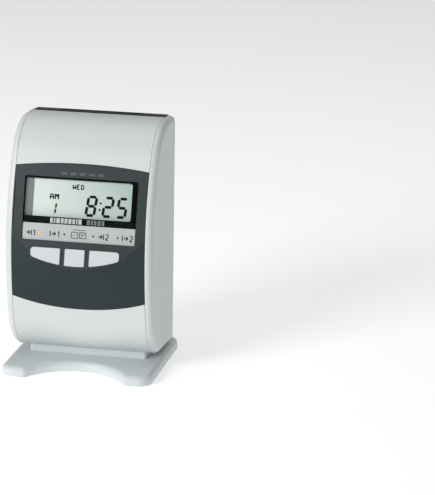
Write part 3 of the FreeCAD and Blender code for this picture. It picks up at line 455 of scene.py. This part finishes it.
def draw_symbols(mesh):
    for x, leaving, digit in ENTRY_MARKS:
        entry_mark(mesh, x, leaving)
        stroke_letter(mesh, PLAIN_DIGITS[digit], x + DIGIT_OFFSET, SYMBOL_LOW, SYMBOL_DIGIT_WIDTH,
                      SYMBOL_HIGH, SYMBOL_STROKE)
    for x in DOTS:
        disc(mesh, x, SYMBOL_MIDDLE, DOT_RADIUS)


def draw_icons(mesh):
    # two small cards in outline under a thin line: one has a row of holes, the other a slanting line
    low, high = SYMBOL_LOW - CARD_MARGIN, SYMBOL_LOW + SYMBOL_HIGH + CARD_MARGIN
    for left in CARD_LEFTS:
        right = left + CARD_WIDTH
        for x0, y0, x1, y1 in ((left, low, right, low), (left, high, right, high),
                               (left, low, left, high), (right, low, right, high)):
            bar(mesh, x0, y0, x1, y1, CARD_STROKE, BLUNT)
    for x in CARD_HOLES:
        disc(mesh, x, (low + high) / 2, radius=0.45, steps=10)
    bar(mesh, 2.6, low + 1.2, 6.2, high - 1.2, CARD_STROKE, BLUNT)
    bar(mesh, 2.6, high - 1.2, 4.0, high - 2.6, CARD_STROKE, BLUNT)
    bar(mesh, -6.0, high + CAPTION_RISE, 7.2, high + CAPTION_RISE, width=0.55, point=BLUNT)


def row_of_blocks(mesh, x, widths, gap):
    for width in widths:
        rectangle(mesh, x, BLOCK_LOW, x + width, BLOCK_HIGH)
        x += width + gap


def draw_blocks(mesh):
    row_of_blocks(mesh, x=-29.6, widths=PALE_BLOCKS, gap=0.9)


def draw_dim(mesh):
    row_of_blocks(mesh, x=7.6, widths=DIM_BLOCKS, gap=1.0)


facet_piece("label_strip_print", "cover", "label_silver", draw_strip, PRINT_DEPTH, PRINT_FACE)
facet_piece("label_symbols", "cover", "print_grey", draw_symbols, PRINT_DEPTH, ON_STRIP)
facet_piece("label_icons", "cover", "print_grey", draw_icons, PRINT_DEPTH, ON_STRIP)
facet_piece("badge_blocks", "cover", "badge_pale", draw_blocks, PRINT_DEPTH, PRINT_FACE)
facet_piece("badge_blocks_dim", "cover", "badge_dim", draw_dim, PRINT_DEPTH, PRINT_FACE)


# ---------------------------------------------------------------- dashes along the top of the panel

RAY_START = 30
DASH_COUNT = 5
DASH_LEFT = -21.0
DASH_WIDTH = 6.0
DASH_STEP = 9.4
DASH_LOW, DASH_HIGH = 66.3, 68.9
DASH_DEPTH = 0.05
DASH_LIFT = 0.01


def height_over_facet(node, u, v):
    # how far the outside of a CAD node stands out of the facet at (u, v), in millimetres
    place = nodes[node].matrix_world
    corners = [place @ vertex.co for vertex in nodes[node].data.vertices]
    faces = [tuple(face.vertices) for face in nodes[node].data.polygons]
    tree = BVHTree.FromPolygons(corners, faces)
    start = FACET + (ACROSS * u + UP_SLOPE * v + OUTWARD * RAY_START) * MM
    _, _, _, distance = tree.ray_cast(start, -OUTWARD)
    return RAY_START - distance / MM


def draw_dashes(mesh):
    for index in range(DASH_COUNT):
        left = DASH_LEFT + index * DASH_STEP
        rectangle(mesh, left, DASH_LOW, left + DASH_WIDTH, DASH_HIGH)


dash_face = height_over_facet("control_panel", 0.0, (DASH_LOW + DASH_HIGH) / 2) + DASH_LIFT
facet_piece("header_dashes", "cover", "dash_grey", draw_dashes, DASH_DEPTH, dash_face)


# ---------------------------------------------------------------- the lit lamp on the label strip and its painted glow

LAMP_ACROSS = -38.1
LAMP_RADIUS = 1.1
GLOW_RADIUS = 2.2


# painted glow: the lamp's light falling on the strip around it, drawn as a paler orange disc
def draw_lamp_glow(mesh):
    disc(mesh, LAMP_ACROSS, SYMBOL_MIDDLE, GLOW_RADIUS)


def draw_lit_lamp(mesh):
    disc(mesh, LAMP_ACROSS, SYMBOL_MIDDLE, LAMP_RADIUS)


# the wider disc is painted light, the lamp's glow on the strip; the small spot over it is the lamp
facet_piece("lamp_glow_painted_light", "cover", "lamp_glow", draw_lamp_glow, PRINT_DEPTH, ON_STRIP)
facet_piece("lit_lamp_spot", "cover", "lamp_orange", draw_lit_lamp, PRINT_DEPTH, ON_GLOW)


# ---------------------------------------------------------------- floor and light

LIGHT_TARGET = Vector((0, 0, 0.12))
WHITE = (1, 1, 1, 1)


def add_floor():
    mesh = bmesh.new()
    bmesh.ops.create_grid(mesh, x_segments=8, y_segments=8, size=4)
    data = bpy.data.meshes.new("floor")
    mesh.to_mesh(data)
    mesh.free()
    floor = bpy.data.objects.new("floor", data)
    bpy.context.collection.objects.link(floor)
    material, tree, shader = new_material("floor_look")
    drift = noise(tree, scale=3.0, detail=2.0)
    drifting_colour(tree, shader, drift, (0.92, 0.92, 0.92), (0.94, 0.94, 0.94))
    shader.inputs["Roughness"].default_value = 0.9
    shader.inputs["Emission Color"].default_value = WHITE
    shader.inputs["Emission Strength"].default_value = 0.38
    data.materials.append(material)


def add_light(name, place, size, power):
    data = bpy.data.lights.new(name, "AREA")
    data.shape = "RECTANGLE"
    data.size, data.size_y = size
    data.energy = power
    light = bpy.data.objects.new(name, data)
    bpy.context.collection.objects.link(light)
    light.location = place
    direction = LIGHT_TARGET - Vector(place)
    light.rotation_euler = direction.to_track_quat("-Z", "Y").to_euler()


def add_world():
    world = bpy.data.worlds.new("studio")
    world.use_nodes = True
    background = world.node_tree.nodes["Background"]
    background.inputs["Color"].default_value = WHITE
    background.inputs["Strength"].default_value = 0.24
    bpy.context.scene.world = world


add_floor()
add_light("key", place=(-1.15, -1.62, 1.0), size=(0.9, 0.9), power=27)
add_light("fill", place=(0.5, -2.2, 0.35), size=(1.0, 0.6), power=3.0)
add_light("top", place=(0.0, 0.3, 1.9), size=(1.6, 1.6), power=10)
add_world()
bpy.context.scene.view_settings.view_transform = "Standard"
